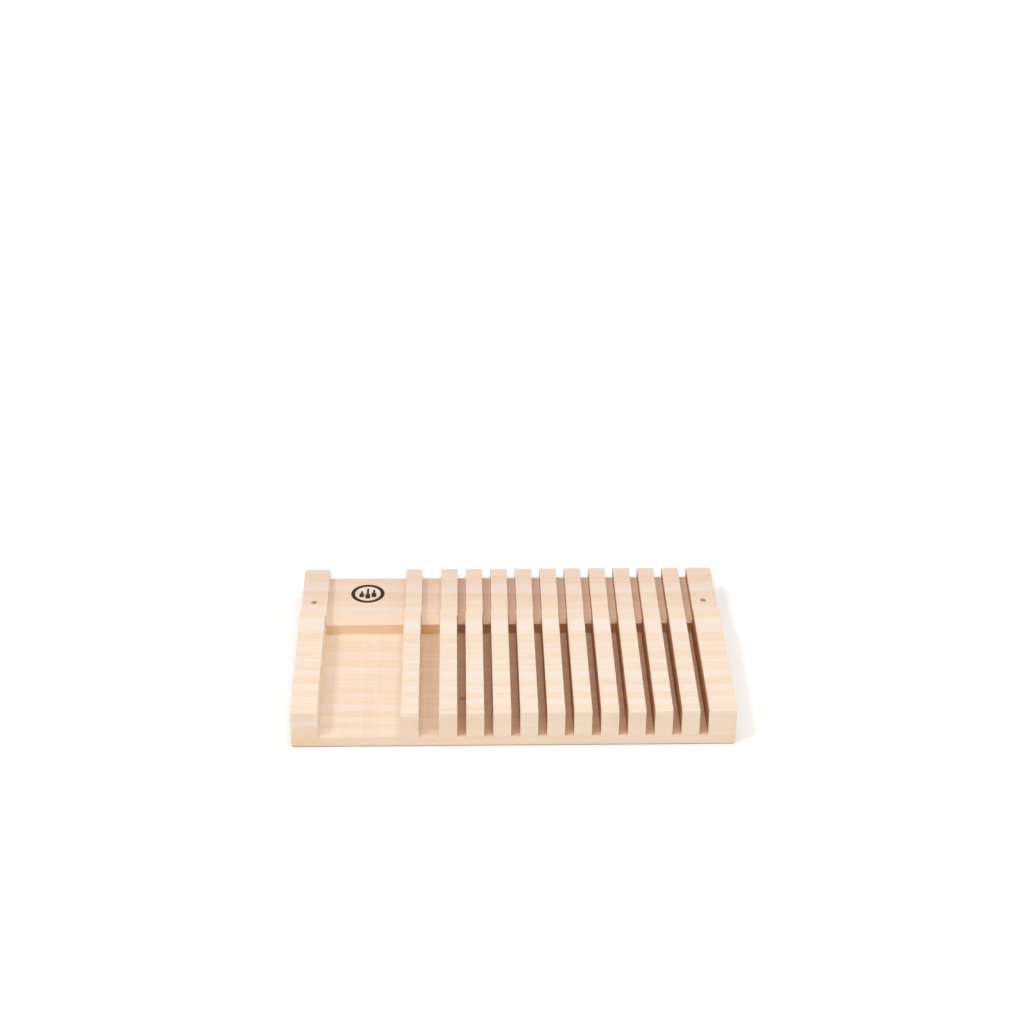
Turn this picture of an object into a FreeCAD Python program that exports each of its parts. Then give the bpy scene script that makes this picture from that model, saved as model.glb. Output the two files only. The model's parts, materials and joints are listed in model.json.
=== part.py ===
"""Tool storage caddy: a wooden slotted rack for hobby tools.

A base board carries a raised ledge along its rear edge. Square rails run from
front to back on both levels, and the gaps between them are the tool slots: one
wide bay on the left, one medium slot beside it, and a row of narrow slots. The
front rails stand on the base, so the slots are deep there. The rear rails stand
on the ledge, are lower, and sit a hair to the right of the front ones. A screw
hole for hanging the rack goes down through each rear end rail.

Millimetres. +X is to the right, +Y to the rear, +Z up. The origin is the centre
of the rack's length and depth, on its underside.
"""
import FreeCAD, Part
import os
from FreeCAD import Vector

# Overall block
overall_length = 230.0         # left to right
overall_depth = 144.0          # front to rear
corner_radius = 1.5            # rounding of the four upright outer corners

# Boards
base_thickness = 6.0           # floor of the deep front slots
ledge_depth = 48.0             # rear strip of raised floor, front to rear
ledge_thickness = 6.0          # rise from the base to the raised floor

# Rails, from left to right
left_end_width = 13.8
bay_rail_width = 9.2           # closes the wide bay
divider_width = 9.4
right_end_width = 14.5
front_rail_height = 15.2       # above the base
rear_rail_height = 6.0         # above the ledge
rear_rail_shift = 0.4          # rear rails sit this far to the right of the front rails

# Slots
medium_slot_width = 10.5
narrow_slot_width = 4.5
narrow_slot_count = 10         # one divider stands to the left of each

# Hanging screw holes, one in each end rail
screw_hole_diameter = 3.2
screw_hole_behind_step = 14.0  # from the ledge's front edge

# Fits
glue_gap = 0.0                 # glued faces touch
hole_overrun = 1.0             # how far a drilling tool passes each face

# Places that follow from the sizes above
left_side = -overall_length / 2
right_side = overall_length / 2
front_face = -overall_depth / 2
rear_face = overall_depth / 2
step_face = rear_face - ledge_depth
base_top = base_thickness
ledge_bottom = base_top + glue_gap
ledge_top = ledge_bottom + ledge_thickness
front_rail_bottom = base_top + glue_gap
rear_rail_bottom = ledge_top + glue_gap
front_rail_end = step_face - glue_gap

# The wide bay takes the length that the rails and the other slots leave
rails_total = (left_end_width + bay_rail_width
               + narrow_slot_count * divider_width + right_end_width)
slots_total = medium_slot_width + narrow_slot_count * narrow_slot_width
bay_width = overall_length - rails_total - slots_total

# The screw holes are centred in the end rails
screw_hole_y = step_face + screw_hole_behind_step
screw_hole_centres = (
    left_side + left_end_width / 2,
    right_side - right_end_width / 2,
)


def board(x0, x1, y0, y1, z0, thickness):
    """A flat board or rail between two X and two Y positions."""
    return Part.makeBox(x1 - x0, y1 - y0, thickness, Vector(x0, y0, z0))


def round_outer_corners(solid):
    """Round the upright edges that stand on the rack's own four corners."""
    corners = []
    for edge in solid.Edges:
        ends = [vertex.Point for vertex in edge.Vertexes]
        upright = abs(ends[0].x - ends[1].x) < 1e-6 and abs(ends[0].y - ends[1].y) < 1e-6
        at_side = min(abs(ends[0].x - left_side), abs(ends[0].x - right_side)) < 1e-6
        at_face = min(abs(ends[0].y - front_face), abs(ends[0].y - rear_face)) < 1e-6
        if upright and at_side and at_face:
            corners.append(edge)
    if not corners:
        return solid
    return solid.makeFillet(corner_radius, corners)


def drill_screw_holes(solid):
    """Cut both hanging screw holes through a solid, wherever they meet it."""
    bounds = solid.BoundBox
    depth = bounds.ZLength + 2 * hole_overrun
    for x in screw_hole_centres:
        start = Vector(x, screw_hole_y, bounds.ZMin - hole_overrun)
        drill = Part.makeCylinder(screw_hole_diameter / 2, depth, start)
        solid = solid.cut(drill)
    return solid


def rail_layout():
    """Name, left edge and right edge of every rail, in order from the left."""
    rails = []
    left = left_side
    right = left + left_end_width
    rails.append(("left_end_rail", left, right))
    left = right + bay_width
    right = left + bay_rail_width
    rails.append(("bay_rail", left, right))
    left = right + medium_slot_width
    for number in range(1, narrow_slot_count + 1):
        right = left + divider_width
        rails.append((f"divider_{number:02d}", left, right))
        left = right + narrow_slot_width
    rails.append(("right_end_rail", left, right_side))
    return rails


def front_rail(left, right):
    """A tall rail on the base, from the front face back to the ledge."""
    rail = board(left, right, front_face, front_rail_end, front_rail_bottom, front_rail_height)
    return round_outer_corners(rail)


def rear_rail(left, right):
    """A low rail on the ledge. Its inner sides are shifted, its outer side is flush."""
    if left > left_side:
        left = left + rear_rail_shift
    if right < right_side:
        right = right + rear_rail_shift
    rail = board(left, right, step_face, rear_face, rear_rail_bottom, rear_rail_height)
    return drill_screw_holes(round_outer_corners(rail))


def base_board():
    """The floor board under everything."""
    solid = board(left_side, right_side, front_face, rear_face, 0.0, base_thickness)
    return drill_screw_holes(round_outer_corners(solid))


def rear_ledge():
    """The raised floor strip along the rear edge."""
    solid = board(left_side, right_side, step_face, rear_face, ledge_bottom, ledge_thickness)
    return drill_screw_holes(round_outer_corners(solid))


def write_part(name, solid):
    """Write one piece to its own STEP file."""
    solid.exportStep(f"parts/{name}.step")


os.makedirs("parts", exist_ok=True)
write_part("base_board", base_board())
write_part("rear_ledge", rear_ledge())
for rail_name, rail_left, rail_right in rail_layout():
    write_part(f"front_{rail_name}", front_rail(rail_left, rail_right))
    write_part(f"rear_{rail_name}", rear_rail(rail_left, rail_right))
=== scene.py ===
import json
import math

import bmesh
import bpy
from mathutils import Matrix, Vector


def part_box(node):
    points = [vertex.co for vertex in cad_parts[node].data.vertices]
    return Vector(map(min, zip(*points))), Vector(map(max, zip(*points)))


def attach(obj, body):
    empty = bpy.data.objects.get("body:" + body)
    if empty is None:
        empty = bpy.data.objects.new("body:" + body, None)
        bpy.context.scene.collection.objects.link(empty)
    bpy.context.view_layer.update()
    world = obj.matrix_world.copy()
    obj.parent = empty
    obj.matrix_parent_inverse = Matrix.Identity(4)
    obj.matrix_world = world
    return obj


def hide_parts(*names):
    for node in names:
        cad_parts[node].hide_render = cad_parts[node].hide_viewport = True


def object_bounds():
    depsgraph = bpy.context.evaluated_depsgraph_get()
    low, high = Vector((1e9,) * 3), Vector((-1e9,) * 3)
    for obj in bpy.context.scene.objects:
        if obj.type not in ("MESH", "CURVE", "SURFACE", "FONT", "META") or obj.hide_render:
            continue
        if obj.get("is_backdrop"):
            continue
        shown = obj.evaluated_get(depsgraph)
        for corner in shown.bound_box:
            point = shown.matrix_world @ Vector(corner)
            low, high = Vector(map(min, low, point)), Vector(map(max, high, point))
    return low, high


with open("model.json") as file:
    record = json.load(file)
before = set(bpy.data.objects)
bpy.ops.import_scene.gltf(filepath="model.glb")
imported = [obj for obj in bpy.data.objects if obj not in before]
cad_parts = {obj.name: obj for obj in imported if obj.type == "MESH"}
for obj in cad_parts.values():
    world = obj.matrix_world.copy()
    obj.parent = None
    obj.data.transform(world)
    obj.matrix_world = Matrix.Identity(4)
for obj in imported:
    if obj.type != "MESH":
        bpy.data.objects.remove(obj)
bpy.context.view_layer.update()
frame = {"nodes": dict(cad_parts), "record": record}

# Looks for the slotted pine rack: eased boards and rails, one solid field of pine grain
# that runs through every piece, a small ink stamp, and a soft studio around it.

MM = 0.001

# Woodwork
EDGE_EASE = 0.35 * MM          # sanded rounding of exposed edges
BASE_EDGE_EASE = 0.9 * MM      # the floor board's underside is rounded a little more
JOINT_EASE = 0.08 * MM         # an edge that lies in a glued joint stays almost sharp
OUTER_CORNER_RADIUS = 1.5 * MM
SCREW_HOLE_RADIUS = 1.6 * MM
HOLE_EASE = 0.25 * MM
EASE_STEPS = 4                 # facets in a quarter round of an eased edge
CORNER_STEPS = 8
HOLE_STEPS = 32
SHARP_ANGLE = 50.0             # an edge that turns more than this many degrees stays crisp
SAME_PLACE = 0.001 * MM        # points nearer than this are one point
FLAT_FACES_LEAD = 100          # large flat faces set the shading of the eased edges beside them
NEAR_END = 0.25                # a point this share of a rail's size from its end is at that end

# Ink stamp on the raised floor of the bay
STAMP_RADIUS = 8.3 * MM
STAMP_LINE = 1.1 * MM          # half the width of the ring's line
STAMP_RIM = 0.12 * MM          # how far the ink's edge is soft, each way
STAMP_FROM_LEFT_RAIL = 21.6 * MM
STAMP_FROM_REAR = 16.2 * MM
STAMP_TOOLS = (                # place across the stamp, foot, shoulder and tip of each tool
    (-3.4 * MM, -3.6 * MM, 0.2 * MM, 2.6 * MM),
    (0.0 * MM, -5.0 * MM, -0.4 * MM, 5.2 * MM),
    (3.4 * MM, -3.6 * MM, 0.9 * MM, 4.0 * MM),
)
STAMP_HANDLE = 1.3 * MM        # half the width of a tool's handle, and of its blade
STAMP_BLADE = 0.6 * MM
STAMP_OVERLAP = 0.1 * MM       # a blade starts this far inside its handle
WORN_BAND = (0.28, 0.42)       # the wear noise's values between worn and whole ink
WORN_INK = 0.75                # how much ink is left in the most worn spots
INK_SHARE = 0.97

# A small knot on the floor of the first narrow slot, in millimetres
KNOT_FROM_DIVIDER = 2.8
KNOT_FROM_FRONT = 34.0
KNOT_RADIUS = 1.5
KNOT_RIM = 0.9                 # how far its ragged rim fades
KNOT_OVAL = (0.8, 1.0, 1.0)    # it is a little wider across the rack
KNOT_SHARE = 0.6

# Studio: each soft box has a place and a size in metres and a power in watts
SKY_STRENGTH = 0.25
STUDIO_RADIUS = 12.0
STUDIO_STEPS = 64              # sides of the round floor and of the dome
FLOOR_WHITE = 0.93
FLOOR_ROUGHNESS = 0.9
FLOOR_GLOSS = 0.1
GLOW_FROM = 0.35               # the floor starts to glow this far from the middle, in metres
GLOW_FULL = 1.6
SOFT_BOXES = (
    ("key_box", (-1.09, -0.75, 1.92), 0.50, 16.5),
    ("top_box", (0.16, 0.16, 2.08), 1.44, 17.5),
    ("front_box", (0.0, -2.1, 1.1), 1.9, 14.0),
    ("left_box", (-2.1, 0.0, 1.1), 1.9, 11.0),
    ("right_box", (2.1, 0.0, 1.1), 1.9, 19.0),
    ("rear_box", (0.0, 2.1, 1.1), 1.9, 2.0),
)

# Camera
CAMERA_DISTANCE = 1.1978
CAMERA_AZIMUTH = -1.51
CAMERA_ELEVATION = 30.61
CAMERA_ROLL = 0.46
CAMERA_AIM_HEIGHT = 0.0979     # the aim point is above the middle of the rack
CAMERA_LENS = 80.5
SENSOR_WIDTH = 36.0
NEAREST_SEEN = 0.01

WHITE = (1.0, 1.0, 1.0, 1.0)
BLACK = (0.0, 0.0, 0.0, 1.0)

DIVIDERS = [name[len("front_"):] for name in sorted(frame["nodes"]) if name.startswith("front_divider_")]


# ---------------------------------------------------------------- shader helpers

def add_node(tree, kind, **settings):
    """A new node of that kind, with these of its properties set."""
    node = tree.nodes.new(kind)
    for name, value in settings.items():
        setattr(node, name, value)
    return node


def connect(tree, source, target):
    """Link an output socket to an input socket, or set the input to a plain value."""
    if isinstance(source, bpy.types.NodeSocket):
        tree.links.new(source, target)
    else:
        target.default_value = source


def math_node(tree, operation, first, second=0.0, third=None):
    """A sum on numbers or number sockets, as a socket."""
    node = add_node(tree, "ShaderNodeMath", operation=operation)
    connect(tree, first, node.inputs[0])
    connect(tree, second, node.inputs[1])
    if third is not None:
        connect(tree, third, node.inputs[2])
    return node.outputs[0]


def times(tree, first, second):
    """The product of two numbers."""
    return math_node(tree, "MULTIPLY", first, second)


def vector_math(tree, operation, first, second=None, scale=None):
    """A sum on vectors. A length or a dot product gives a number, the others a vector."""
    node = add_node(tree, "ShaderNodeVectorMath", operation=operation)
    connect(tree, first, node.inputs[0])
    if second is not None:
        connect(tree, second, node.inputs[1])
    if scale is not None:
        connect(tree, scale, node.inputs["Scale"])
    return node.outputs["Value" if operation in ("DOT_PRODUCT", "LENGTH") else "Vector"]


def split_axes(tree, vector):
    """The X, Y and Z of a vector, as sockets."""
    node = add_node(tree, "ShaderNodeSeparateXYZ")
    connect(tree, vector, node.inputs[0])
    return node.outputs


def join_axes(tree, **axes):
    """A vector from some of its X, Y and Z. An axis that isn't given stays 0."""
    node = add_node(tree, "ShaderNodeCombineXYZ")
    for axis, value in axes.items():
        connect(tree, value, node.inputs[axis])
    return node.outputs[0]


def remap(tree, value, low, high, to_low=0.0, to_high=1.0, smooth=True):
    """Map a value from one range to another, clamped, with soft or straight ends."""
    node = add_node(tree, "ShaderNodeMapRange", clamp=True)
    node.interpolation_type = "SMOOTHSTEP" if smooth else "LINEAR"
    connect(tree, value, node.inputs["Value"])
    node.inputs["From Min"].default_value = low
    node.inputs["From Max"].default_value = high
    node.inputs["To Min"].default_value = to_low
    node.inputs["To Max"].default_value = to_high
    return node.outputs["Result"]


def spread(tree, noise, to_low=0.0, to_high=1.0, smooth=True):
    """Spread a noise over a range: nearly all of its values lie between 0.3 and 0.7."""
    return remap(tree, noise, 0.3, 0.7, to_low, to_high, smooth)


def faces_that_way(tree, amount):
    """1 where a face looks fully along an axis, fading to 0 round an eased edge."""
    return remap(tree, amount, 0.55, 0.85)


def stretched_noise(tree, place, repeats, detail=2.0, roughness=0.5):
    """Noise that is long along the grain, with these repeats per millimetre on each axis."""
    node = add_node(tree, "ShaderNodeTexNoise", noise_dimensions="3D")
    scaled = vector_math(tree, "MULTIPLY", place, repeats)
    connect(tree, scaled, node.inputs["Vector"])
    node.inputs["Scale"].default_value = 1.0
    node.inputs["Detail"].default_value = detail
    node.inputs["Roughness"].default_value = roughness
    return node.outputs["Fac"]


def line_noise(tree, position, repeats, detail=2.0, roughness=0.5):
    """Noise along one line, for rings of uneven width."""
    node = add_node(tree, "ShaderNodeTexNoise", noise_dimensions="1D")
    connect(tree, times(tree, position, repeats), node.inputs["W"])
    node.inputs["Scale"].default_value = 1.0
    node.inputs["Detail"].default_value = detail
    node.inputs["Roughness"].default_value = roughness
    return node.outputs["Fac"]


def blend_colour(tree, share, first, second, kind="MIX"):
    """The first colour, changed towards the second as far as the share says."""
    node = add_node(tree, "ShaderNodeMix", data_type="RGBA", blend_type=kind)
    connect(tree, share, node.inputs["Factor"])
    connect(tree, first, node.inputs["A"])
    connect(tree, second, node.inputs["B"])
    return node.outputs["Result"]


def tint_where(tree, share, colour, tint):
    """Multiply a colour by a tint as far as the share says."""
    return blend_colour(tree, share, colour, blend_colour(tree, 1.0, colour, tint, kind="MULTIPLY"))


def surface_point(tree):
    """A point's place in the row frame in millimetres, and the direction it faces."""
    here = add_node(tree, "ShaderNodeTexCoord")
    return vector_math(tree, "SCALE", here.outputs["Object"], scale=1.0 / MM), here.outputs["Normal"]


# ---------------------------------------------------------------- pine

# The boards are cut along a trunk whose heart lies under the step; lengths in millimetres
HEART_BEHIND_MIDDLE = 25.8
HEART_BELOW = 25.0
BOW_MIDDLE = 36.0               # where the bowed trunk comes furthest forward, right of centre
BOW = 0.00016                   # how the heart falls back with the square of the way from there
FIRST_RING = 50.0               # radius of the ring that the others are counted from
RING_WIDTH = 10.06
RING_UNEVEN = 0.2               # how many rings' widths the spacing may drift
GRAIN_WANDER = 1.8              # how far the rings wave along the boards
LATE_FULL = 0.95                # share of a ring's width over which the late wood deepens
LATE_STOPS = 0.84               # and the share from which it stops short
WEAKEST_RING = 0.75             # strength of the weakest wide ring; a narrow one may vanish
PLAIN_WITHIN = 3.0              # near the heart the wood is plainer: nearer than this it keeps
FIGURED_BEYOND = 10.0           # only a share of its figure, and past this it has all of it
PLAIN_SHARE = 0.3
NARROW_RINGS = 3.0              # narrower rings to each wide one, and how unevenly they come
NARROW_UNEVEN = 2.2
WIDE_SEED = 3.0
NARROW_SEED = 11.0
UNEVEN_REPEATS = 0.06           # repeats per millimetre of radius: drift of the wide rings,
RAGGED_REPEATS = 0.21           # drift of the narrow rings,
LINE_REPEATS = 0.95             # and the finest lines
LINE_BAND = (0.42, 0.75)        # the line noise's values between no line and a full one

# Depth of each kind of figure, from 0 for none to 1 for the mark's full colour
LATE_SHARE = 0.88
NARROW_SHARE = 0.80
LINE_SHARE = 0.30
FLECK_SHARE = 0.25
CAST_BAND = (0.35, 0.65)        # noise values between a pinker and a yellower place
FLECK_BAND = (0.70, 0.80)       # only a noise's rarest peaks are resin flecks
CONTACT_SHADOW_BAND = (0.15, 0.75)        # heights over which the painted contact shadow on the lower edge fades, in millimetres
CONTACT_SHADOW_SHARE = 0.75
UNDERSIDE_BAND = (-0.99, -0.90)   # how far down a face looks: the painted contact shadow leaves out the flat underside
PATCHY = (0.5, 1.1)             # late wood is broken into weaker and stronger patches
STREAKY = (0.955, 1.03)         # darkest and lightest fibre
PORY = (0.90, 1.06)             # darkest and lightest end grain
CUTTER_LINES = (0.975, 1.02)    # darkest and lightest cutter line in the bay
EVEN_FLOOR_SHARE = 0.15         # how far a low floor's figure is evened out
RAISED_FLOOR_SHARE = 0.3        # the raised floor takes this much of the slot floors' painted shade and bounce light
RAISED_FLOOR_BAND = (4.0, 2.0)  # millimetres under the ledge's top over which that changes
OUTER_DEPTH = 1.0               # end grain this near the rack's sides is on the outside
FACES_UP = 0.5                  # ink takes only on faces that look up at least this much

# Repeats per millimetre of each kind of figure: across the rack, to the rear and up
WAVE_REPEATS = (0.008, 0.024, 0.024)
FIBRE_REPEATS = (0.035, 1.5, 1.5)
MOTTLE_REPEATS = (0.030, 0.10, 0.10)
PATCH_REPEATS = (0.035, 0.12, 0.12)
CAST_REPEATS = (0.020, 0.16, 0.16)
FLECK_REPEATS = (0.11, 2.6, 2.6)
PORE_REPEATS = (2.0, 3.6, 3.6)
CUTTER_REPEATS = (0.28, 0.006, 0.0)
KNOT_REPEATS = (1.2, 1.2, 1.2)
WEAR_REPEATS = (1.6, 1.9, 1.9)

PALE_PINE = (0.864, 0.746, 0.655, 1.0)
WARM_PINE = (0.854, 0.716, 0.609, 1.0)
LATE_WOOD = (0.830, 0.612, 0.425, 1.0)
PINK_CAST = (1.000, 0.994, 1.006, 1.0)
YELLOW_CAST = (1.000, 1.003, 0.986, 1.0)
MEAN_PINE = (0.845, 0.682, 0.545, 1.0)
RESIN = (0.560, 0.300, 0.130, 1.0)
KNOT = (0.560, 0.250, 0.060, 1.0)
# colour of the painted contact shadow along the floor board's lower edge
CONTACT_SHADOW = (0.230, 0.150, 0.095, 1.0)
BAY_WALL_PAINTED_LIGHT = (1.060, 1.110, 1.060, 1.0)   # painted light: lightens the end-grain walls round the bay
OUTER_END_TINT = (0.985, 0.955, 0.910, 1.0)    # end grain on the outside
SLOT_WALL_PAINTED_SHADE = (0.760, 0.520, 0.355, 1.0)     # painted shade and warm bounce light on the end-grain walls of the narrow slots
# painted warm bounce light on the floors of the narrow slots
SLOT_FLOOR_PAINTED_BOUNCE = (1.095, 0.935, 0.790, 1.0)
# painted shade on the floor of the medium slot, in the shadow of the bay rail
MEDIUM_SLOT_PAINTED_SHADE = (0.960, 0.890, 0.870, 1.0)
REAR_PAINTED_SHADE = (0.920, 0.880, 0.883)   # painted shade: the colour is darkened behind the step, where less light comes from the rear
REAR_SHADE_REACH = 30.0              # how far behind the step the shade is full
INK = (0.008, 0.006, 0.006, 1.0)
BASE_FRONT_TINT = (0.990, 0.950, 0.890, 1.0)
# golden ledge front: partly the wood's own colour, partly painted warm bounce light in the step's corner
LEDGE_FRONT_TONE_AND_BOUNCE = (0.990, 0.950, 0.780, 1.0)
SLOT_RISER_PAINTED_SHADE = (1.000, 0.870, 0.780, 1.0)   # painted shade and warm bounce light, added to the ledge front inside the slots
RAIL_FRONT_TINT = (1.000, 1.000, 0.980, 1.0)

WOOD_IOR = 1.45
WOOD_GLOSS = 0.35
LEDGE_GLOSS = 0.1
SMOOTHEST = 0.52
ROUGHEST = 0.66
END_ROUGHER = 0.15              # added to the roughness on end grain
LATE_RELIEF = 0.35              # late wood stands a little proud of the fibre
GRAIN_STRENGTH = 0.35
GRAIN_DEPTH = 0.06 * MM


def slots_from(tree, place_x, node):
    """1 between the middle of that rail and the middle of the right end rail, 0 elsewhere."""
    first = sum(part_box(node), Vector()).x / 2 / MM
    last = sum(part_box("front_right_end_rail"), Vector()).x / 2 / MM
    after = math_node(tree, "GREATER_THAN", place_x, first)
    return times(tree, after, math_node(tree, "LESS_THAN", place_x, last))


def ring_shade(tree, turns, weakest, seed):
    """How dark late wood is at a count of rings: it deepens outwards through each ring, then
    stops short. Each ring has a strength of its own, from the weakest up to 1."""
    share = math_node(tree, "FRACT", turns)
    own = add_node(tree, "ShaderNodeTexWhiteNoise", noise_dimensions="1D")
    connect(tree, math_node(tree, "ADD", math_node(tree, "FLOOR", turns), seed), own.inputs["W"])
    strength = remap(tree, own.outputs["Value"], 0.0, 1.0, weakest, 1.0, smooth=False)
    late = remap(tree, share, 0.0, LATE_FULL)
    late = times(tree, late, remap(tree, share, LATE_STOPS, 1.0, 1.0, 0.0))
    return times(tree, late, strength)


def growth_rings(tree, place, x, y, z):
    """Darkness of the late wood, of the narrower rings between, and of the finest lines."""
    wave = stretched_noise(tree, place, WAVE_REPEATS, detail=3.0)
    along = math_node(tree, "SUBTRACT", x, BOW_MIDDLE)
    bowed = times(tree, along, along)
    heart_y = math_node(tree, "MULTIPLY_ADD", bowed, BOW, HEART_BEHIND_MIDDLE)
    from_heart = math_node(tree, "SUBTRACT", y, heart_y)
    across = join_axes(tree, Y=from_heart, Z=math_node(tree, "ADD", z, HEART_BELOW))
    reach = vector_math(tree, "LENGTH", across)
    radius = math_node(tree, "MULTIPLY_ADD", wave, GRAIN_WANDER, reach)
    uneven = line_noise(tree, radius, UNEVEN_REPEATS, detail=1.0)
    even = math_node(tree, "MULTIPLY_ADD", radius, 1.0 / RING_WIDTH, -FIRST_RING / RING_WIDTH)
    turns = math_node(tree, "MULTIPLY_ADD", uneven, RING_UNEVEN, even)
    wide = ring_shade(tree, turns, WEAKEST_RING, WIDE_SEED)
    distance = math_node(tree, "ABSOLUTE", from_heart)
    wide = times(tree, wide, remap(tree, distance, PLAIN_WITHIN, FIGURED_BEYOND, PLAIN_SHARE, 1.0))
    ragged = times(tree, line_noise(tree, radius, RAGGED_REPEATS), NARROW_UNEVEN)
    narrow_turns = math_node(tree, "MULTIPLY_ADD", turns, NARROW_RINGS, ragged)
    narrow = ring_shade(tree, narrow_turns, 0.0, NARROW_SEED)
    fine = line_noise(tree, radius, LINE_REPEATS, detail=2.5, roughness=0.6)
    lines = remap(tree, fine, *LINE_BAND)
    return wide, narrow, lines


def grain_colour(tree, place, late, narrow, lines, fibre):
    """Colour of planed pine along the grain, with all its figure."""
    mottle = stretched_noise(tree, place, MOTTLE_REPEATS)
    colour = blend_colour(tree, spread(tree, mottle), PALE_PINE, WARM_PINE)
    for mark, share in ((late, LATE_SHARE), (narrow, NARROW_SHARE), (lines, LINE_SHARE)):
        colour = blend_colour(tree, times(tree, mark, share), colour, LATE_WOOD)
    cast = remap(tree, stretched_noise(tree, place, CAST_REPEATS), *CAST_BAND)
    cast_tint = blend_colour(tree, cast, PINK_CAST, YELLOW_CAST)
    colour = blend_colour(tree, 1.0, colour, cast_tint, kind="MULTIPLY")
    streak = spread(tree, fibre, *STREAKY, smooth=False)
    colour = vector_math(tree, "SCALE", colour, scale=streak)
    flecks = remap(tree, stretched_noise(tree, place, FLECK_REPEATS, detail=1.0), *FLECK_BAND)
    return blend_colour(tree, times(tree, flecks, FLECK_SHARE), colour, RESIN)


def end_grain_colour(tree, colour, x, narrow_slots, pores):
    """Colour on the sides of the rails and boards, where the fibres are cut across, with painted light on
    the walls round the bay and painted shade on the walls of the narrow slots.
    """
    tint = blend_colour(tree, narrow_slots, BAY_WALL_PAINTED_LIGHT, SLOT_WALL_PAINTED_SHADE)
    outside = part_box("base_board")[1].x / MM - OUTER_DEPTH
    outer = math_node(tree, "GREATER_THAN", math_node(tree, "ABSOLUTE", x), outside)
    tint = blend_colour(tree, outer, tint, OUTER_END_TINT)
    colour = blend_colour(tree, 1.0, colour, tint, kind="MULTIPLY")
    return vector_math(tree, "SCALE", colour, scale=spread(tree, pores, *PORY))


def floor_colour(tree, colour, x, z, upward, narrow_slots):
    """Low floors show less figure, and those of the slots get painted shade and painted warm bounce light.
    """
    low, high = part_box("front_divider_01")
    deep = math_node(tree, "LESS_THAN", z, (low.z + high.z) / 2 / MM)
    deep = times(tree, deep, faces_that_way(tree, upward))
    colour = blend_colour(tree, times(tree, deep, EVEN_FLOOR_SHARE), colour, MEAN_PINE)
    ledge_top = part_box("rear_ledge")[1].z / MM
    start, end = [ledge_top - depth for depth in RAISED_FLOOR_BAND]
    raised = remap(tree, z, start, end, 1.0, RAISED_FLOOR_SHARE)
    in_slot = times(tree, deep, slots_from(tree, x, "front_bay_rail"))
    # painted shade and warm bounce light on the slot floors
    slot_painted_light = blend_colour(tree, narrow_slots, MEDIUM_SLOT_PAINTED_SHADE, SLOT_FLOOR_PAINTED_BOUNCE)
    return tint_where(tree, times(tree, in_slot, raised), colour, slot_painted_light)


def pine_field():
    """Node group: colour, roughness and relief of pine at any place in the rack, with painted shade behind
    the step and painted light and shade in the slots.
    """
    group = bpy.data.node_groups.new("pine_field", "ShaderNodeTree")
    group.interface.new_socket("Colour", in_out="OUTPUT", socket_type="NodeSocketColor")
    group.interface.new_socket("Roughness", in_out="OUTPUT", socket_type="NodeSocketFloat")
    group.interface.new_socket("Relief", in_out="OUTPUT", socket_type="NodeSocketFloat")
    out = add_node(group, "NodeGroupOutput")
    place, direction = surface_point(group)
    x, y, z = split_axes(group, place)
    facing = split_axes(group, direction)
    end_grain = faces_that_way(group, math_node(group, "ABSOLUTE", facing["X"]))
    # 1 in the narrow slots, whose walls and floors get painted shade and warm bounce light
    narrow_slots = slots_from(group, x, "front_divider_01")

    late, narrow, lines = growth_rings(group, place, x, y, z)
    patches = spread(group, stretched_noise(group, place, PATCH_REPEATS), *PATCHY)
    late = times(group, late, patches)
    fibre = stretched_noise(group, place, FIBRE_REPEATS, detail=3.0, roughness=0.6)
    pores = stretched_noise(group, place, PORE_REPEATS, roughness=0.7)

    colour = grain_colour(group, place, late, narrow, lines, fibre)
    colour = blend_colour(group, end_grain, colour, end_grain_colour(group, colour, x, narrow_slots, pores))
    colour = floor_colour(group, colour, x, z, facing["Z"], narrow_slots)
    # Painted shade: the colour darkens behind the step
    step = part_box("rear_ledge")[0].y / MM
    behind = remap(group, y, step, step + REAR_SHADE_REACH)
    shaded = vector_math(group, "MULTIPLY", colour, REAR_PAINTED_SHADE)
    connect(group, blend_colour(group, behind, colour, shaded), out.inputs["Colour"])

    rough = spread(group, fibre, SMOOTHEST, ROUGHEST)
    rough = math_node(group, "MULTIPLY_ADD", end_grain, END_ROUGHER, rough)
    connect(group, rough, out.inputs["Roughness"])

    relief = add_node(group, "ShaderNodeMix", data_type="FLOAT")
    connect(group, end_grain, relief.inputs["Factor"])
    connect(group, math_node(group, "MULTIPLY_ADD", late, LATE_RELIEF, fibre), relief.inputs["A"])
    connect(group, pores, relief.inputs["B"])
    connect(group, relief.outputs["Result"], out.inputs["Relief"])
    return group


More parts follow.
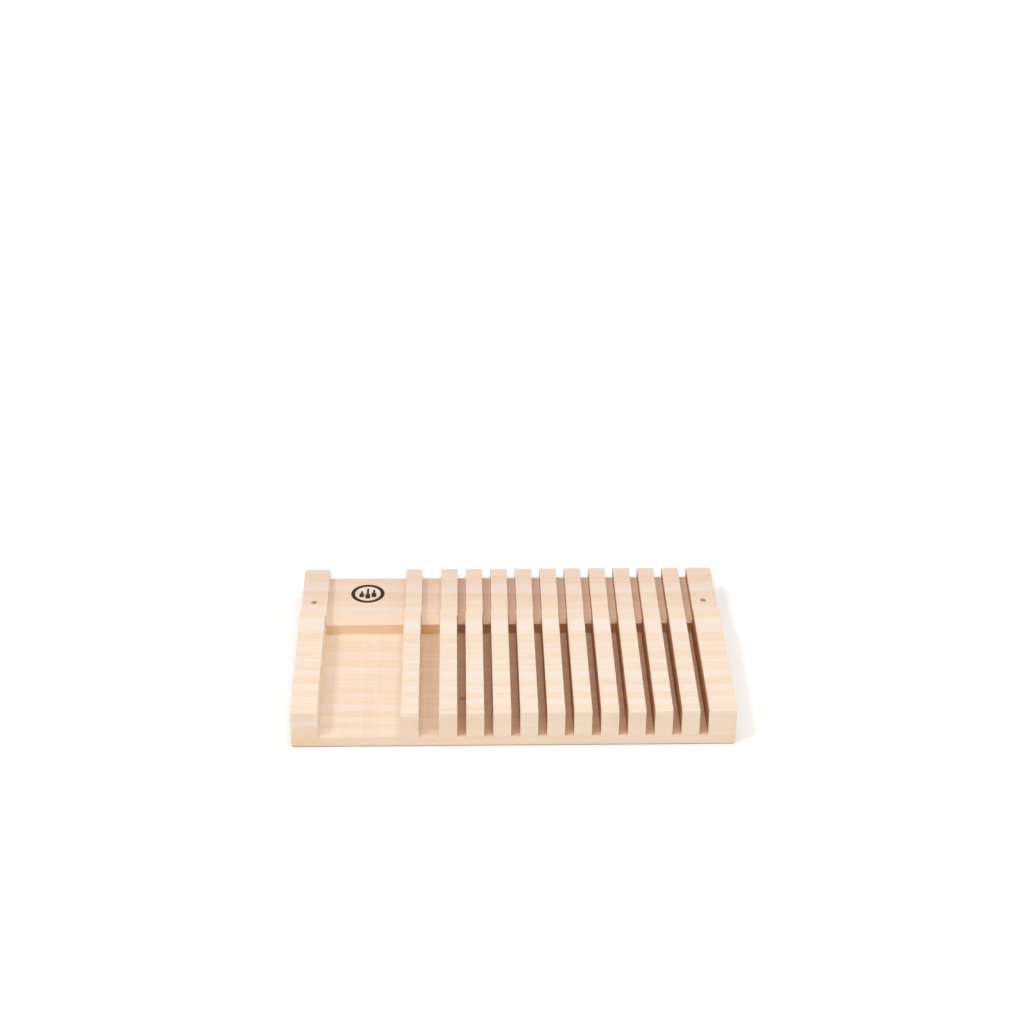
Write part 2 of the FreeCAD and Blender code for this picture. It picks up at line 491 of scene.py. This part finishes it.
def pine_material(name, field, front_tint, marks=None, gloss=WOOD_GLOSS):
    """A pine finish. The front tint colours its front face: the wood's own tone, and on the ledge painted
    warm bounce light as well;
    marks, where there are any, take the colour socket and give it back with a stamp, a knot, cutter lines or
    painted shade added."""
    material = bpy.data.materials.new(name)
    material.use_nodes = True
    tree = material.node_tree
    tree.nodes.clear()
    surface = add_node(tree, "ShaderNodeBsdfPrincipled")
    output = add_node(tree, "ShaderNodeOutputMaterial")
    connect(tree, surface.outputs[0], output.inputs["Surface"])
    pine = add_node(tree, "ShaderNodeGroup", node_tree=field)
    direction = add_node(tree, "ShaderNodeTexCoord").outputs["Normal"]
    front = faces_that_way(tree, vector_math(tree, "DOT_PRODUCT", direction, (0, -1, 0)))
    colour = blend_colour(tree, front, pine.outputs["Colour"], front_tint, kind="MULTIPLY")
    if marks:
        colour = marks(tree, colour)
    connect(tree, colour, surface.inputs["Base Color"])
    connect(tree, pine.outputs["Roughness"], surface.inputs["Roughness"])
    bump = add_node(tree, "ShaderNodeBump")
    bump.inputs["Strength"].default_value = GRAIN_STRENGTH
    bump.inputs["Distance"].default_value = GRAIN_DEPTH
    connect(tree, pine.outputs["Relief"], bump.inputs["Height"])
    connect(tree, bump.outputs["Normal"], surface.inputs["Normal"])
    surface.inputs["IOR"].default_value = WOOD_IOR
    surface.inputs["Specular IOR Level"].default_value = gloss
    return material


def inked(tree, distance, half_width):
    """1 where the distance is under the half width, with a soft inked rim."""
    return remap(tree, distance, half_width - STAMP_RIM, half_width + STAMP_RIM, 1.0, 0.0)


def inked_bar(tree, x, y, offset, half_width, foot, top):
    """An upright bar of ink from its foot to its top."""
    across = math_node(tree, "ABSOLUTE", math_node(tree, "SUBTRACT", x, offset))
    along = math_node(tree, "ABSOLUTE", math_node(tree, "SUBTRACT", y, (foot + top) / 2))
    return times(tree, inked(tree, across, half_width), inked(tree, along, (top - foot) / 2))


def stamp_mark(tree, colour):
    """A ring with three little upright tools in it, stamped in black ink: each tool is a
    handle with a narrower blade above it."""
    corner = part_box("rear_left_end_rail")[1]
    centre = (corner.x + STAMP_FROM_LEFT_RAIL, corner.y - STAMP_FROM_REAR, 0.0)
    here = add_node(tree, "ShaderNodeTexCoord")
    local = split_axes(tree, vector_math(tree, "SUBTRACT", here.outputs["Object"], centre))
    x, y = local["X"], local["Y"]
    reach = vector_math(tree, "LENGTH", join_axes(tree, X=x, Y=y))
    from_ring = math_node(tree, "ABSOLUTE", math_node(tree, "SUBTRACT", reach, STAMP_RADIUS))
    ink = inked(tree, from_ring, STAMP_LINE)
    for offset, foot, shoulder, tip in STAMP_TOOLS:
        handle = inked_bar(tree, x, y, offset, STAMP_HANDLE, foot, shoulder)
        blade = inked_bar(tree, x, y, offset, STAMP_BLADE, shoulder - STAMP_OVERLAP, tip)
        ink = math_node(tree, "MAXIMUM", ink, handle)
        ink = math_node(tree, "MAXIMUM", ink, blade)
    place, direction = surface_point(tree)
    wear = stretched_noise(tree, place, WEAR_REPEATS, detail=3.0)
    ink = times(tree, ink, remap(tree, wear, *WORN_BAND, WORN_INK, 1.0))
    upward = math_node(tree, "GREATER_THAN", split_axes(tree, direction)["Z"], FACES_UP)
    ink = times(tree, ink, upward)
    return blend_colour(tree, times(tree, ink, INK_SHARE), colour, INK)


def ledge_marks(tree, colour):
    """Marks on the rear ledge: painted shade that browns its front inside the slots, and the ink stamp."""
    place, direction = surface_point(tree)
    forward = times(tree, split_axes(tree, direction)["Y"], -1.0)
    slots = slots_from(tree, split_axes(tree, place)["X"], "front_bay_rail")
    riser = times(tree, faces_that_way(tree, forward), slots)
    return stamp_mark(tree, tint_where(tree, riser, colour, SLOT_RISER_PAINTED_SHADE))


def floor_board_marks(tree, colour):
    """Marks on the floor board: a small knot, cutter lines in the bay, and a painted contact shadow along
    its lower edge.
    """
    place, direction = surface_point(tree)
    height = split_axes(tree, place)["Z"]
    facing_up = split_axes(tree, direction)["Z"]
    upward = faces_that_way(tree, facing_up)

    cutter = stretched_noise(tree, place, CUTTER_REPEATS, detail=3.0)
    cut = spread(tree, cutter, *CUTTER_LINES, smooth=False)
    colour = blend_colour(tree, upward, colour, vector_math(tree, "SCALE", colour, scale=cut))

    low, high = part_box("front_divider_01")
    centre = (high.x / MM + KNOT_FROM_DIVIDER, low.y / MM + KNOT_FROM_FRONT, low.z / MM)
    offset = vector_math(tree, "SUBTRACT", place, centre)
    oval = vector_math(tree, "MULTIPLY", offset, KNOT_OVAL)
    ragged = stretched_noise(tree, place, KNOT_REPEATS)
    reach = math_node(tree, "MULTIPLY_ADD", ragged, 1.0, vector_math(tree, "LENGTH", oval))
    knot = remap(tree, reach, KNOT_RADIUS, KNOT_RADIUS + KNOT_RIM, 1.0, 0.0)
    colour = blend_colour(tree, times(tree, knot, KNOT_SHARE), colour, KNOT)

    # Painted contact shadow: the lower edge darkens towards the floor
    contact_shadow = remap(tree, height, *CONTACT_SHADOW_BAND, CONTACT_SHADOW_SHARE, 0.0)
    contact_shadow = times(tree, contact_shadow, math_node(tree, "SUBTRACT", 1.0, upward))
    contact_shadow = times(tree, contact_shadow, remap(tree, facing_up, *UNDERSIDE_BAND))
    return blend_colour(tree, contact_shadow, colour, CONTACT_SHADOW)


field = pine_field()
base_pine = pine_material("base_pine", field, BASE_FRONT_TINT, marks=floor_board_marks)
ledge_pine = pine_material("ledge_pine", field, LEDGE_FRONT_TONE_AND_BOUNCE, marks=ledge_marks, gloss=LEDGE_GLOSS)
rail_pine = pine_material("rail_pine", field, RAIL_FRONT_TINT)


# ---------------------------------------------------------------- making pieces

def add_object(name, data):
    """A new object in the scene that holds this data."""
    item = bpy.data.objects.new(name, data)
    bpy.context.scene.collection.objects.link(item)
    return item


def mesh_object(name, mesh):
    """A new object from a finished bmesh, which is freed."""
    data = bpy.data.meshes.new(name)
    mesh.to_mesh(data)
    mesh.free()
    return add_object(name, data)


def apply_modifiers(piece):
    """Make a piece and its modifiers one plain mesh."""
    depsgraph = bpy.context.evaluated_depsgraph_get()
    plain = bpy.data.meshes.new_from_object(piece.evaluated_get(depsgraph))
    plain.name = piece.name
    piece.modifiers.clear()
    piece.data = plain


def finish_piece(piece, material, nodes):
    """Give a piece even shading, its wood and its body, and hide the nodes that it stands for."""
    piece.data.shade_smooth()
    piece.data.set_sharp_from_angle(angle=math.radians(SHARP_ANGLE))
    shading = piece.modifiers.new("even_shading", "WEIGHTED_NORMAL")
    shading.weight = FLAT_FACES_LEAD
    shading.keep_sharp = True
    apply_modifiers(piece)
    piece.data.materials.clear()
    piece.data.materials.append(material)
    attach(piece, "root")
    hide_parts(*nodes)


# ---------------------------------------------------------------- boards and end rails

def quarter_turns(steps):
    """The angles of a quarter round, from flat to upright."""
    return [0.5 * math.pi * step / steps for step in range(steps + 1)]


def circle(centre, radius, steps):
    """Points round a circle in plan."""
    turns = [2 * math.pi * step / steps for step in range(steps)]
    return [(centre[0] + radius * math.cos(a), centre[1] + radius * math.sin(a)) for a in turns]


def rounded_outline(low, high, radii, inset):
    """Points round a rectangle, anticlockwise from its front left corner, with each corner an
    arc. An inset shrinks the outline and its corners alike."""
    corners = (
        (low.x, low.y, 1, 1, math.pi),
        (high.x, low.y, -1, 1, 1.5 * math.pi),
        (high.x, high.y, -1, -1, 0.0),
        (low.x, high.y, 1, -1, 0.5 * math.pi),
    )
    points = []
    for (x, y, towards_x, towards_y, start), radius in zip(corners, radii):
        centre_x = x + towards_x * max(radius, inset)
        centre_y = y + towards_y * max(radius, inset)
        arc = max(radius - inset, 0.0)
        for turn in quarter_turns(CORNER_STEPS):
            angle = start + turn
            points.append((centre_x + arc * math.cos(angle), centre_y + arc * math.sin(angle)))
    return points


def eased_levels(bottom, top, ease_bottom, ease_top):
    """Heights up a block's side, each with how far it is drawn in by the eased edges."""
    levels = []
    for turn in reversed(quarter_turns(EASE_STEPS)):
        levels.append((bottom + ease_bottom * (1 - math.sin(turn)), ease_bottom * (1 - math.cos(turn))))
    for turn in quarter_turns(EASE_STEPS):
        levels.append((top - ease_top * (1 - math.sin(turn)), ease_top * (1 - math.cos(turn))))
    return levels


def loft(mesh, outlines):
    """Join outlines, each a height and the points round it, into a closed wall."""
    rings = [[mesh.verts.new((x, y, height)) for x, y in points] for height, points in outlines]
    for lower, upper in zip(rings, rings[1:]):
        count = len(lower)
        for i in range(count):
            j = (i + 1) % count
            mesh.faces.new((lower[i], lower[j], upper[j], upper[i]))


def cap(mesh, height):
    """Fill the flat end at that height, between the outline and the rims of any holes."""
    rim = []
    for edge in mesh.edges:
        if edge.is_boundary and all(abs(corner.co.z - height) < SAME_PLACE for corner in edge.verts):
            rim.append(edge)
    bmesh.ops.triangle_fill(mesh, use_beauty=True, edges=rim)


def make_board(node, material, radii, ease_bottom, ease_top, holes=()):
    """A board in a node's place, with eased rims, rounded corners and drilled holes. The radii
    of its upright corners go round from the front left one."""
    low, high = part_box(node)
    mesh = bmesh.new()
    levels = eased_levels(low.z, high.z, ease_bottom, ease_top)
    loft(mesh, [(height, rounded_outline(low, high, radii, inset)) for height, inset in levels])
    levels = eased_levels(low.z, high.z, JOINT_EASE, HOLE_EASE)
    for centre in holes:
        rims = [(height, circle(centre, SCREW_HOLE_RADIUS + flare, HOLE_STEPS)) for height, flare in levels]
        loft(mesh, rims)
    bmesh.ops.remove_doubles(mesh, verts=mesh.verts, dist=SAME_PLACE)
    cap(mesh, low.z)
    cap(mesh, high.z)
    bmesh.ops.recalc_face_normals(mesh, faces=mesh.faces)
    finish_piece(mesh_object(node + "_wood", mesh), material, [node])


def screw_hole_centre(side):
    """Plan place of the screw hole on that side, -1 for left or 1 for right: its mount says it."""
    mount = next(m for m in frame["record"]["mounts"] if m["name"] == "hanging_holes")
    half = mount["dims"]["spacing_x_mm"] * MM / 2
    return (mount["pos_m"][0] + side * half, mount["pos_m"][1])


left_hole = screw_hole_centre(-1)
right_hole = screw_hole_centre(1)
both_holes = (left_hole, right_hole)
outer, eased, glued = OUTER_CORNER_RADIUS, EDGE_EASE, JOINT_EASE
for board, material, slot_name, radii, ease_bottom, ease_top, holes in (
    ("base_board", base_pine, "base_pine", (outer, outer, outer, outer), BASE_EDGE_EASE, glued, both_holes),
    ("rear_ledge", ledge_pine, "ledge_pine", (glued, glued, outer, outer), 0.0, eased, both_holes),
    ("front_left_end_rail", rail_pine, "rail_pine", (outer, eased, glued, glued), 0.0, eased, ()),
    ("front_right_end_rail", rail_pine, "rail_pine", (eased, outer, glued, glued), 0.0, eased, ()),
    ("rear_left_end_rail", rail_pine, "rail_pine", (glued, glued, eased, outer), 0.0, eased, (left_hole,)),
    ("rear_right_end_rail", rail_pine, "rail_pine", (glued, glued, outer, eased), 0.0, eased, (right_hole,)),
):
    make_board(board, material, radii, ease_bottom, ease_top, holes)


# ---------------------------------------------------------------- rows of equal rails

def rail_row_tree():
    """Geometry Nodes: equal rails side by side, marked where their edges are eased."""
    tree = bpy.data.node_groups.new("rail_row", "GeometryNodeTree")
    inputs = (
        ("Count", "NodeSocketInt"),
        ("Pitch", "NodeSocketFloat"),
        ("First Corner", "NodeSocketVector"),
        ("Size", "NodeSocketVector"),
        ("Butted End", "NodeSocketFloat"),
        ("Wood", "NodeSocketMaterial"),
    )
    for name, kind in inputs:
        tree.interface.new_socket(name, in_out="INPUT", socket_type=kind)
    tree.interface.new_socket("Geometry", in_out="OUTPUT", socket_type="NodeSocketGeometry")
    given = add_node(tree, "NodeGroupInput").outputs
    out = add_node(tree, "NodeGroupOutput")

    # One rail, with its front left bottom corner at the origin
    cube = add_node(tree, "GeometryNodeMeshCube")
    connect(tree, given["Size"], cube.inputs["Size"])
    shift = add_node(tree, "GeometryNodeTransform")
    connect(tree, cube.outputs["Mesh"], shift.inputs["Geometry"])
    connect(tree, vector_math(tree, "SCALE", given["Size"], scale=0.5), shift.inputs["Translation"])

    # An edge is eased unless it lies along the bottom or stands at the butted end
    place = split_axes(tree, add_node(tree, "GeometryNodeInputPosition").outputs[0])
    size = split_axes(tree, given["Size"])
    up = math_node(tree, "DIVIDE", place["Z"], size["Z"])
    back = math_node(tree, "DIVIDE", place["Y"], size["Y"])
    at_bottom = math_node(tree, "LESS_THAN", up, NEAR_END)
    at_top = math_node(tree, "GREATER_THAN", up, 1.0 - NEAR_END)
    to_end = math_node(tree, "ABSOLUTE", math_node(tree, "SUBTRACT", back, given["Butted End"]))
    at_end = math_node(tree, "LESS_THAN", to_end, NEAR_END)
    upright_at_end = times(tree, at_end, math_node(tree, "SUBTRACT", 1.0, at_top))
    sharp = math_node(tree, "MAXIMUM", at_bottom, upright_at_end)
    store = add_node(tree, "GeometryNodeStoreNamedAttribute", data_type="FLOAT", domain="EDGE")
    connect(tree, shift.outputs["Geometry"], store.inputs["Geometry"])
    store.inputs["Name"].default_value = "bevel_weight_edge"
    connect(tree, math_node(tree, "SUBTRACT", 1.0, sharp), store.inputs["Value"])

    line = add_node(tree, "GeometryNodeMeshLine", mode="OFFSET")
    connect(tree, given["Count"], line.inputs["Count"])
    connect(tree, given["First Corner"], line.inputs["Start Location"])
    connect(tree, join_axes(tree, X=given["Pitch"]), line.inputs["Offset"])
    rails = add_node(tree, "GeometryNodeInstanceOnPoints")
    connect(tree, line.outputs["Mesh"], rails.inputs["Points"])
    connect(tree, store.outputs["Geometry"], rails.inputs["Instance"])
    real = add_node(tree, "GeometryNodeRealizeInstances")
    connect(tree, rails.outputs["Instances"], real.inputs["Geometry"])
    wood = add_node(tree, "GeometryNodeSetMaterial")
    connect(tree, real.outputs["Geometry"], wood.inputs["Geometry"])
    connect(tree, given["Wood"], wood.inputs["Material"])
    connect(tree, wood.outputs["Geometry"], out.inputs["Geometry"])
    return tree


def set_inputs(modifier, values):
    """Set a Geometry Nodes modifier's inputs by their sockets' identifiers."""
    for item in modifier.node_group.interface.items_tree:
        if item.item_type == "SOCKET" and item.in_out == "INPUT":
            modifier[item.identifier] = values[item.name]


def make_rail_row(name, tree, nodes, butted_end):
    """One row of equal rails, in place of these nodes, which stand side by side. Its butted
    end is 1 where the rear end is glued to the next row, and 0 where the front end is."""
    low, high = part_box(nodes[0])
    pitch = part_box(nodes[1])[0].x - low.x if len(nodes) > 1 else 0.0
    piece = add_object(name, bpy.data.meshes.new(name))
    row = piece.modifiers.new("rail_row", "NODES")
    row.node_group = tree
    set_inputs(row, {
        "Count": len(nodes),
        "Pitch": pitch,
        "First Corner": low,
        "Size": high - low,
        "Butted End": butted_end,
        "Wood": rail_pine,
    })
    ease = piece.modifiers.new("eased_edges", "BEVEL")
    ease.limit_method = "WEIGHT"
    ease.width = EDGE_EASE
    ease.segments = EASE_STEPS
    apply_modifiers(piece)
    finish_piece(piece, rail_pine, nodes)


rail_row = rail_row_tree()
for level, butted_end in (("front", 1.0), ("rear", 0.0)):
    make_rail_row(f"{level}_bay_rail_wood", rail_row, [f"{level}_bay_rail"], butted_end)
    dividers = [f"{level}_{name}" for name in DIVIDERS]
    make_rail_row(f"{level}_dividers_wood", rail_row, dividers, butted_end)


# ---------------------------------------------------------------- studio

def studio_material(name, colour):
    """A plain material for the floor or the backdrop: the material and its shader."""
    material = bpy.data.materials.new(name)
    material.use_nodes = True
    surface = material.node_tree.nodes["Principled BSDF"]
    surface.inputs["Base Color"].default_value = colour
    surface.inputs["Emission Color"].default_value = WHITE
    return material, surface


def make_floor():
    """A plain pale floor under the rack. Far from the rack it glows, so it never turns grey."""
    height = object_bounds()[0].z
    rim = [(x, y, height) for x, y in circle((0.0, 0.0), STUDIO_RADIUS, STUDIO_STEPS)]
    data = bpy.data.meshes.new("floor")
    data.from_pydata(rim, [], [tuple(range(STUDIO_STEPS))])
    floor = add_object("floor", data)
    material, surface = studio_material("pale_floor", (FLOOR_WHITE, FLOOR_WHITE, FLOOR_WHITE, 1.0))
    surface.inputs["Roughness"].default_value = FLOOR_ROUGHNESS
    surface.inputs["Specular IOR Level"].default_value = FLOOR_GLOSS
    tree = material.node_tree
    reach = vector_math(tree, "LENGTH", add_node(tree, "ShaderNodeTexCoord").outputs["Object"])
    connect(tree, remap(tree, reach, GLOW_FROM, GLOW_FULL), surface.inputs["Emission Strength"])
    data.materials.append(material)
    floor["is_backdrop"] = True


def make_backdrop():
    """A white dome that is seen behind the rack but neither lights nor shades it."""
    mesh = bmesh.new()
    bmesh.ops.create_uvsphere(
        mesh, u_segments=STUDIO_STEPS, v_segments=STUDIO_STEPS // 2, radius=STUDIO_RADIUS)
    bmesh.ops.reverse_faces(mesh, faces=mesh.faces)
    backdrop = mesh_object("backdrop", mesh)
    backdrop.visible_diffuse = False
    backdrop.visible_glossy = False
    backdrop.visible_transmission = False
    backdrop.visible_shadow = False
    material, surface = studio_material("white_backdrop", BLACK)
    surface.inputs["Emission Strength"].default_value = 1.0
    backdrop.data.materials.append(material)
    backdrop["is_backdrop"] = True


def make_lamp(name, place, size, power):
    """A square soft box that points at the middle of the rack's underside."""
    data = bpy.data.lights.new(name, "AREA")
    data.size = size
    data.energy = power
    lamp = add_object(name, data)
    lamp.location = place
    towards_rack = Vector() - Vector(place)
    lamp.rotation_euler = towards_rack.to_track_quat("-Z", "Y").to_euler()


def make_sky():
    """Even white light from all round."""
    world = bpy.data.worlds.new("white_room")
    bpy.context.scene.world = world
    world.use_nodes = True
    background = world.node_tree.nodes["Background"]
    background.inputs["Color"].default_value = WHITE
    background.inputs["Strength"].default_value = SKY_STRENGTH


def make_camera():
    """The camera stands in front and looks down; its aim point is above the rack."""
    low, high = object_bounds()
    middle = (low + high) / 2
    aim = Vector((middle.x, middle.y, low.z + CAMERA_AIM_HEIGHT))
    azimuth = math.radians(CAMERA_AZIMUTH)
    elevation = math.radians(CAMERA_ELEVATION)
    back = Vector((
        math.sin(azimuth) * math.cos(elevation),
        -math.cos(azimuth) * math.cos(elevation),
        math.sin(elevation),
    ))
    data = bpy.data.cameras.new("camera")
    data.lens = CAMERA_LENS
    data.sensor_width = SENSOR_WIDTH
    data.clip_start = NEAREST_SEEN
    camera = add_object("camera", data)
    turn = back.to_track_quat("Z", "Y").to_matrix() @ Matrix.Rotation(math.radians(CAMERA_ROLL), 3, "Z")
    camera.matrix_world = Matrix.Translation(aim + CAMERA_DISTANCE * back) @ turn.to_4x4()
    bpy.context.scene.camera = camera


make_floor()
make_backdrop()
make_sky()
for name, place, size, power in SOFT_BOXES:
    make_lamp(name, place, size, power)
make_camera()
bpy.context.scene.view_settings.view_transform = "Standard"
